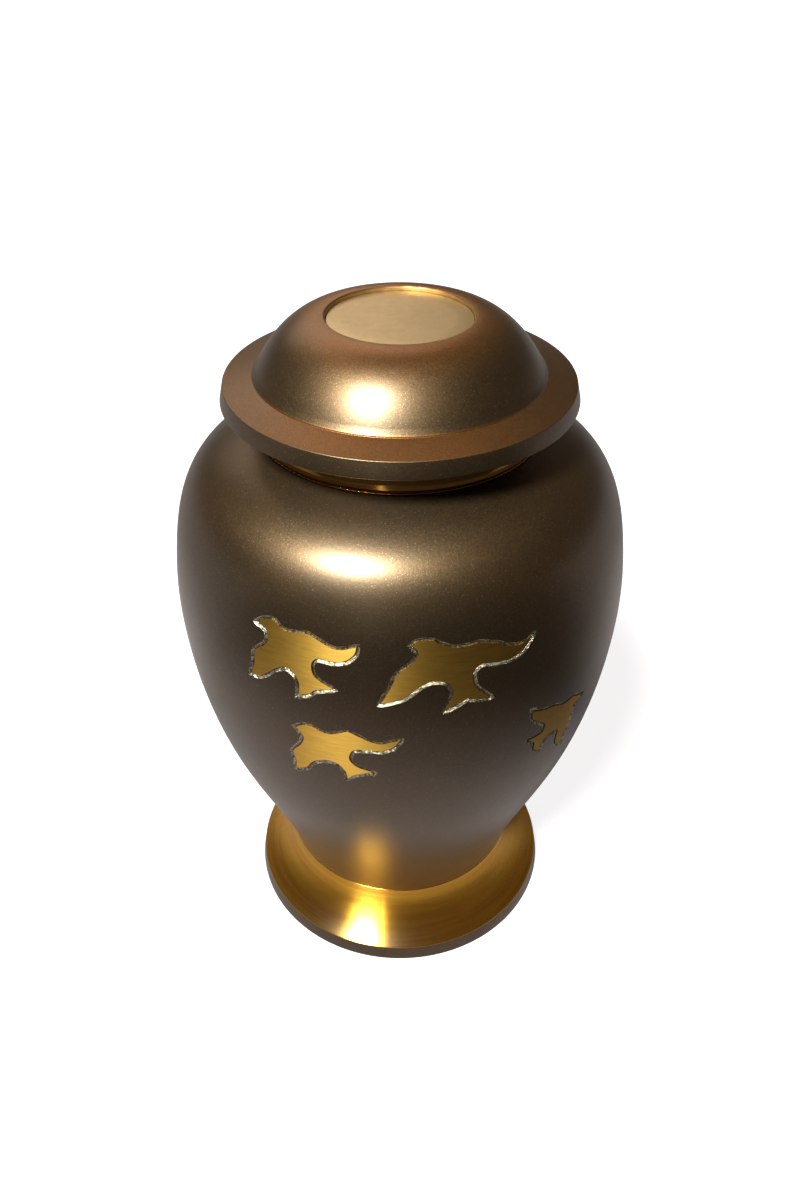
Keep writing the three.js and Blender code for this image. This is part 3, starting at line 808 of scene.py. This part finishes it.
class URN_OT_body(bpy.types.Operator):
    """Make the round body with its carved birds."""

    bl_idname = "urn.make_body"
    bl_label = "Carved body"

    def execute(self, context):
        sizes, colours = context.scene.urn_sizes, context.scene.urn_colours
        columns = sizes.columns
        bottom, top = body_low.z / MM, body_high.z / MM
        belly, waist = body_high.x / MM, foot_waist()
        belly_height = bottom + BELLY_RISE
        knots = [(waist + out * (belly - waist), bottom + up * BELLY_RISE) for up, out in LOWER_SIDE]
        knots += [
            (SHOULDER_END + out * (belly - SHOULDER_END), belly_height + up * (top - belly_height))
            for up, out in UPPER_SIDE
        ]
        fine = spline_through(knots, step=0.1)
        length, slope = run_length(fine), unit(np.gradient(fine, axis=0))
        row_count = int(round(length[-1] / ROW_HEIGHT))
        row_step = length[-1] / row_count

        def side_at(distance):
            """Radius and height of the side at a distance up it."""
            return np.array([np.interp(distance, length, fine[:, k]) for k in (0, 1)])

        def lean_at(distance):
            """The side's outward normal there."""
            run = np.array([np.interp(distance, length, slope[:, k]) for k in (0, 1)])
            return np.array([run[1], -run[0]]) / np.hypot(*run)

        side = side_at(np.arange(row_count + 1) * row_step).T
        below = np.array([[0, bottom], [waist - 0.35, bottom]])
        inner = moved_sideways(side[::2], BODY_WALL)[::-1]
        inner = inner[(inner[:, 0] > MOUTH + 0.5) & (inner[:, 1] > bottom + 7)]
        over = rounded([
            (SHOULDER_END, top, 0), (MOUTH, top, 0.35), (MOUTH, inner[0, 1] + 0.8, 1.0), (*inner[0], 0),
        ])
        floor = bottom + BODY_WALL
        under = rounded([(*inner[-1], 0), (waist - BODY_WALL, floor, 4.0), (0, floor, 0)])
        profile = np.vstack([below, side, over[1:], inner[1:-1], under])
        first_row = len(below)
        side_last = first_row + row_count
        points, quads, fans, rows, fan_rows = turned(profile, columns)
        width, depth, field = sizes.groove_width / MM, sizes.groove_depth / MM, sizes.field_depth / MM
        keep = np.ones(len(quads), bool)
        column = np.tile(np.arange(columns), len(quads) // columns)
        patches, patch_looks, patch_normals, fresh_points = [], [], [], []
        total = len(points)
        for seed, birds in enumerate(FLOCK):
            cuts = [BirdCut(*bird, 11 * seed + k, length[-1], side_at, width) for k, bird in enumerate(birds)]
            found, lift, number, faces, look, (c0, c1, r0, r1) = carve_block(
                cuts, width, depth, field, row_step, first_row, columns
            )
            inside = ((column - c0) % columns < c1 - c0) & (rows >= first_row + r0) & (rows < first_row + r1)
            keep &= ~inside
            angle, distance = found[:, 0] / PLANE, found[:, 1]
            (radius, height), (out, rise) = side_at(distance), lean_at(distance)
            radius, height = radius + out * lift, height + rise * lift
            placed, normal = around_axis(angle, radius, height), around_axis(angle, out, rise)
            fresh = number < 0
            number[fresh] = total + np.arange(fresh.sum())
            total += int(fresh.sum())
            fresh_points.append(placed[fresh])
            patches.append(number[faces])
            patch_looks.append(look)
            level = (look == COAT) | (look == BIRD)
            patch_normals.append(np.where(level[:, None, None], normal[faces], 0).reshape(-1, 3))
        quads, rows = quads[keep], rows[keep]
        points = np.vstack([points, *fresh_points])
        looks = np.concatenate([
            np.where(rows >= side_last + 2, INSIDE, COAT), np.where(fan_rows < first_row, COAT, INSIDE),
            *patch_looks,
        ])
        distance = (np.stack([rows, rows, rows + 1, rows + 1], axis=1) - first_row) * row_step
        out, rise = lean_at(np.clip(distance, 0, length[-1]).ravel())
        around = points[quads].reshape(-1, 3)[:, :2]
        around /= np.maximum(np.hypot(*around.T), ON_AXIS)[:, None]
        normals = np.stack([out * around[:, 0], out * around[:, 1], rise], axis=1)
        normals[~np.repeat((rows >= first_row) & (rows < side_last), 4)] = 0
        make_piece(
            "carved_body", "vessel", points, [quads, fans, *patches], looks,
            [
                bronze_coat(),
                turned_metal(
                    "bird brass", colours.bird_brass, roughness=0.35, lines=6500.0, depth=0.000005, stretch=0.87,
                    contrast=0.34, dull=0.08, along=120.0, spread=0.01,
                ),
                cut_brass("bright cut", colours.cut_brass, roughness=0.3),
                inside_metal("inside brass", roughness=0.5, lines=1800.0, depth=0.0002, dull=0.3),
                # The inner slope of each cut: the cut metal painted dark, as painted shade along the bird's edge.
                cut_brass("painted shade cut", (0.12, 0.075, 0.035), roughness=0.55),
            ],
            np.vstack([normals, np.zeros((fans.size, 3)), *patch_normals]),
        )
        return {"FINISHED"}


def foot_waist():
    """Radius of the foot's top, where the body stands."""
    return foot_high.x / MM - FLARE_REACH


class URN_OT_foot(bpy.types.Operator):
    """Make the flared foot with its coated standing edge."""

    bl_idname = "urn.make_foot"
    bl_label = "Flared foot"

    def execute(self, context):
        brass, small = context.scene.urn_colours.brass, context.scene.urn_sizes.edge_round / MM
        base, height, waist = foot_high.x / MM, foot_high.z / MM, foot_waist()
        band, lean, wall, rim, ledge = 6.4, 1.1, 2.2, 3.2, 9.5
        t = np.linspace(0, 1, 61)[:, None]
        band_top, waist_top = np.array([base - lean, band]), np.array([waist, height])
        pull = np.array([waist + 2, height - 11.2])
        flare = (1 - t) ** 2 * band_top + 2 * t * (1 - t) * pull + t**2 * waist_top
        inner = moved_sideways(flare, wall)
        inner = inner[(inner[:, 0] < base - rim) & (inner[:, 1] < height - wall)][::-3]
        lower = rounded([
            (base - rim, 1.0, 0), (base - rim, 0, 0.3), (base, 0, 0.35), (base - lean, band, small),
            (*flare[4], 0),
        ])[1:-1]
        upper = rounded([
            (*flare[-3], 0), (waist, height, 0.25), (waist - ledge, height, 0.3),
            (waist - ledge, height - wall, 0.3), (waist - wall, height - wall, 0.8), (*inner[0], 0),
        ])
        back = rounded([(*inner[-1], 0), (base - rim, band - wall, 0.5), (base - rim, 1.0, 0)])
        profile = np.vstack([lower, flare[4:-3], upper, inner[1:-1], back])
        points, quads, _, rows, _ = turned(profile, columns=240)
        # The coat ends on the rounded edge at the top of the band.
        flare_start = np.argmax(lower[:, 1] > band - 0.6 * small)
        flare_end = len(lower) + len(flare)
        looks = np.where(rows < flare_start, 1, np.where(rows < flare_end, 0, 2))
        make_piece(
            "flared_foot", "foot", points, [quads], looks,
            [
                turned_metal(
                    "foot brass", brass, roughness=0.24, lines=2000.0, depth=0.000005, stretch=0.97,
                    contrast=0.5, dull=0.08, along=14.0, spread=0.006, coat=0.3,
                ),
                bronze_coat("foot band coat"),
                inside_metal("foot inside brass", roughness=0.5, lines=1500.0, depth=0.0003, dull=0.3),
            ],
        )
        return {"FINISHED"}


class URN_OT_neck_ring(bpy.types.Operator):
    """Make the polished neck ring with its cove and beaded base."""

    bl_idname = "urn.make_neck_ring"
    bl_label = "Neck ring"

    def execute(self, context):
        reach = context.scene.urn_sizes.cove_reach / MM
        base, top, lowest = neck_high.x / MM, neck_high.z / MM, neck_low.z / MM
        seat, wall = lowest + 6, base - reach
        bore, sleeve = wall - 2.8, wall - 1.0
        step, cove_height = 0.12, 2.8
        bead_radius, bead_waves, bead_swell = 0.25, 150, 0.11
        angle = np.linspace(0, np.pi / 2, 12)
        cove = side_by_side(
            base - step - (reach - step) * np.sin(angle),
            seat + 2 * bead_radius + cove_height * (1 - np.cos(angle)),
        )
        swell = np.linspace(-np.pi / 2, np.pi / 2, 9)
        middle = np.array([base - bead_radius, seat + bead_radius])
        beading = middle + bead_radius * side_by_side(np.cos(swell), np.sin(swell))
        rest = rounded([
            (*cove[-1], 0), (wall, top, 0.45), (bore, top, 0.45), (bore, lowest, 0.3), (sleeve, lowest, 0.3),
            (sleeve, seat, 0.1), (base - bead_radius, seat, 0),
        ])

        def rope(angle, row):
            """The bead swells and sinks around the ring like a fine rope, more on its left half."""
            strength = 0.35 + 0.65 * np.clip(-np.sin(angle) * 2, 0, 1)
            wave = np.cos(angle * bead_waves + row * 0.5) * bead_swell * strength
            last = len(beading) - 1
            swollen = wave * np.sin(np.pi * np.clip(row, 0, last) / last) - bead_swell
            return np.where(row <= last, swollen, 0)

        profile = np.vstack([beading, cove, rest[1:-1]])
        points, quads, _, _, _ = turned(profile, columns=720, relief=rope)
        make_piece(
            "coved_neck_ring", "neck_ring", points, [quads], 0,
            # The ring's brass is darker and browner than the foot's: partly the ring's own brown brass, partly
            # painted shade for its place under the flange.
            [turned_metal(
                "neck brass", (0.4, 0.2, 0.05), roughness=0.16, lines=4200.0, depth=0.00002, stretch=0.0,
                contrast=0.2, dull=0.2,
            )],
        )
        return {"FINISHED"}


class URN_OT_lid(bpy.types.Operator):
    """Make the domed lid with its flange, spigot and recess."""

    bl_idname = "urn.make_lid"
    bl_label = "Domed lid"

    def execute(self, context):
        colours, small = context.scene.urn_colours, context.scene.urn_sizes.edge_round / MM
        flange, top, under = lid_high.x / MM, lid_high.z / MM, neck_high.z / MM + 0.3
        edge_top = under + 5.8
        spigot, spigot_end, wall = 45.2, under - 10, 2.0
        dome_foot = (50.1, edge_top + 2.5)
        crown, spread, recess = 26.2, 37.7, 24.9
        recess_floor = disc_low.z / MM - 0.3
        ceiling = recess_floor - wall
        base_angle = math.asin((dome_foot[0] - crown) / spread)
        tall = (top - dome_foot[1]) / (1 - math.cos(base_angle))
        angle = np.linspace(base_angle, 0, 60)
        dome = side_by_side(crown + spread * np.sin(angle), top - tall * (1 - np.cos(angle)))
        inner = moved_sideways(dome, wall)
        inner = inner[inner[:, 1] < ceiling - 0.3][::-2]
        outside = rounded([
            (spigot, under - 9, 0), (spigot, under, 0.3), (flange, under, small),
            (flange - 1.35, edge_top, small * 0.8), (dome_foot[0] + 0.25, dome_foot[1] - 0.12, 0.12),
            (dome_foot[0] + 0.1, dome_foot[1] + 0.3, 0.25), (*dome[3], 0),
        ], 6)
        mouth = rounded([
            (*dome[-2], 0), (recess + 0.45, top, 0.3), (recess, top - 0.45, 0.3), (recess, recess_floor, 0.15),
            (0, recess_floor, 0),
        ])
        inside = rounded([(0, ceiling, 0), (recess + wall, ceiling, 1.2), (*inner[0], 0)])
        skirt = rounded([
            (*inner[-1], 0), (spigot - wall, under + wall, 0.5), (spigot - wall, spigot_end, 0.4),
            (spigot, spigot_end, 0.4), (spigot, under - 9, 0),
        ])
        shown = np.vstack([outside, dome[4:-2], mouth])
        hidden = np.vstack([inside, inner[1:-1], skirt[:-1]])
        # The coat starts after the arc on top of the spigot, and the recess wall lies between two of the mouth's.
        coat_start, lip = 7, len(shown) - len(mouth)
        wall_start, recess_start, wall_end = lip + 5, lip + 8, lip + 18

        def kink(angle, row):
            """The recess is cut by hand: its wall wanders a little, and bulges out at one place."""
            on_wall = (row >= wall_start) & (row < wall_end)
            wander = 0.05 * np.sin(angle * 5 + 1) + 0.04 * np.sin(angle * 11) + 0.03 * np.sin(angle * 23)
            bulge = 0.35 * np.exp(-(((angle - math.radians(108)) / math.radians(5)) ** 2))
            return np.where(on_wall, wander + bulge, 0)

        points, quads, fans, rows, fan_rows = turned(np.vstack([shown, hidden]), columns=240, relief=kink)
        rows = np.concatenate([rows, fan_rows])
        make_piece(
            "domed_lid", "lid", points, [quads, fans],
            np.select([rows < coat_start, rows < recess_start, rows < len(shown) - 1], [3, 0, 1], 2),
            [
                # The lid's coat has a painted warm reflection on its flat tops.
                bronze_coat("lid coat with painted reflection", lid_painted_reflection),
                turned_metal(
                    "recess brass", (0.4, 0.28, 0.13), roughness=0.52, lines=2600.0, depth=0.0001, stretch=0.2,
                    contrast=0.35, dull=0.3, along=240.0,
                ),
                inside_metal("lid inside brass", roughness=0.45, lines=1800.0, depth=0.0002, dull=0.25),
                turned_metal(
                    "spigot brass", colours.brass, roughness=0.25, lines=3000.0, depth=0.0001, stretch=0.4,
                    contrast=0.15, dull=0.1,
                ),
            ],
        )
        return {"FINISHED"}


class URN_OT_crown_disc(bpy.types.Operator):
    """Make the satin disc in the lid's recess."""

    bl_idname = "urn.make_crown_disc"
    bl_label = "Crown disc"

    def execute(self, context):
        radius, low, high = disc_high.x / MM, disc_low.z / MM, disc_high.z / MM
        inward = [(r, high, 0) for r in (18, 12, 6)]
        profile = rounded([
            (0, low, 0), (radius, low, 0.15), (radius, high, 0.25), *inward, (0, high, 0),
        ], steps=4)
        points, quads, fans, _, _ = turned(profile, columns=192)
        make_piece("crown_disc", "lid_disc", points, [quads, fans], 0, [satin_disc_metal()])
        return {"FINISHED"}


def place_light(name, kind, energy, colour, place, turn):
    """A light of the studio, turned by degrees about X, Y and Z. The camera doesn't see a lamp's own shape."""
    light = bpy.data.lights.new(name, kind)
    light.energy, light.color = energy, colour
    lamp = bpy.data.objects.new(name, light)
    lamp.location = place
    lamp.rotation_euler = [math.radians(part) for part in turn]
    lamp.visible_camera = kind == "SUN"
    bpy.context.scene.collection.objects.link(lamp)
    return light


def studio_air():
    """A world of dim warm light, which the camera sees as a pale backdrop."""
    world = bpy.data.worlds.new("studio")
    world.use_nodes = True
    tree = world.node_tree
    seen = add(tree, "ShaderNodeLightPath").outputs["Is Camera Ray"]
    air = tree.nodes["Background"].inputs
    tree.links.new(mixed(tree, seen, (1.0, 0.78, 0.56, 1), (1, 1, 1, 1)), air["Color"])
    tree.links.new(line(tree, seen, 0.9, 0.085), air["Strength"])
    return world


class URN_OT_stage(bpy.types.Operator):
    """Make the floor, the lights, the world and the camera."""

    bl_idname = "urn.make_stage"
    bl_label = "Studio"

    def execute(self, context):
        scene = context.scene
        bpy.ops.mesh.primitive_plane_add(size=24, location=(0, 0, 0))
        floor = context.object
        floor.name = "floor"
        floor.data.materials.append(studio_floor())
        key = place_light("key", "SUN", 8.4, (0.98, 1.0, 0.86), (0, 0, 0), (40, 0, -31.5))
        key.angle = math.radians(15)
        strip = place_light("strip", "AREA", 0.3, (1.0, 0.97, 0.8), (-0.197, -0.791, 0.48), (65, 0, -14))
        strip.shape, strip.size, strip.size_y = "RECTANGLE", 0.05, 1.0
        back = place_light("back", "AREA", 2.4, (1.0, 0.9, 0.76), (-0.36, 0.9, 1.05), (-50, 0, 22))
        back.size = 1.0
        scene.world = studio_air()
        camera = bpy.data.cameras.new("camera")
        camera.sensor_fit, camera.sensor_height, camera.lens = "VERTICAL", 36, 30.48
        viewer = bpy.data.objects.new("camera", camera)
        viewer.location = (0, -0.3239, 0.3919)
        viewer.rotation_euler = (math.radians(52.85), 0, 0)
        scene.collection.objects.link(viewer)
        scene.camera = viewer
        scene.view_settings.view_transform = "Standard"
        return {"FINISHED"}


class URN_PT_panel(bpy.types.Panel):
    """Lists the urn's makers and values."""

    bl_idname = "URN_PT_panel"
    bl_label = "Carved Brass Urn"
    bl_space_type = "VIEW_3D"
    bl_region_type = "UI"
    bl_category = "Urn"

    def draw(self, context):
        layout = self.layout
        for maker in MAKERS:
            layout.operator(maker.bl_idname)
        for group in (context.scene.urn_sizes, context.scene.urn_colours):
            for name in group.__annotations__:
                layout.prop(group, name)


MAKERS = (URN_OT_stage, URN_OT_body, URN_OT_foot, URN_OT_neck_ring, URN_OT_lid, URN_OT_crown_disc)
CLASSES = (UrnSizes, UrnColours, *MAKERS, URN_PT_panel)


def register():
    """Adds the classes and their values to Blender."""
    for made in CLASSES:
        bpy.utils.register_class(made)
    bpy.types.Scene.urn_sizes = PointerProperty(type=UrnSizes)
    bpy.types.Scene.urn_colours = PointerProperty(type=UrnColours)


def unregister():
    """Takes the classes and their values out again."""
    del bpy.types.Scene.urn_colours
    del bpy.types.Scene.urn_sizes
    for made in reversed(CLASSES):
        bpy.utils.unregister_class(made)


def main():
    """Makes the whole urn and its studio."""
    register()
    bpy.ops.urn.make_stage()
    bpy.ops.urn.make_body()
    bpy.ops.urn.make_foot()
    bpy.ops.urn.make_neck_ring()
    bpy.ops.urn.make_lid()
    bpy.ops.urn.make_crown_disc()


if __name__ == "__main__":
    main()
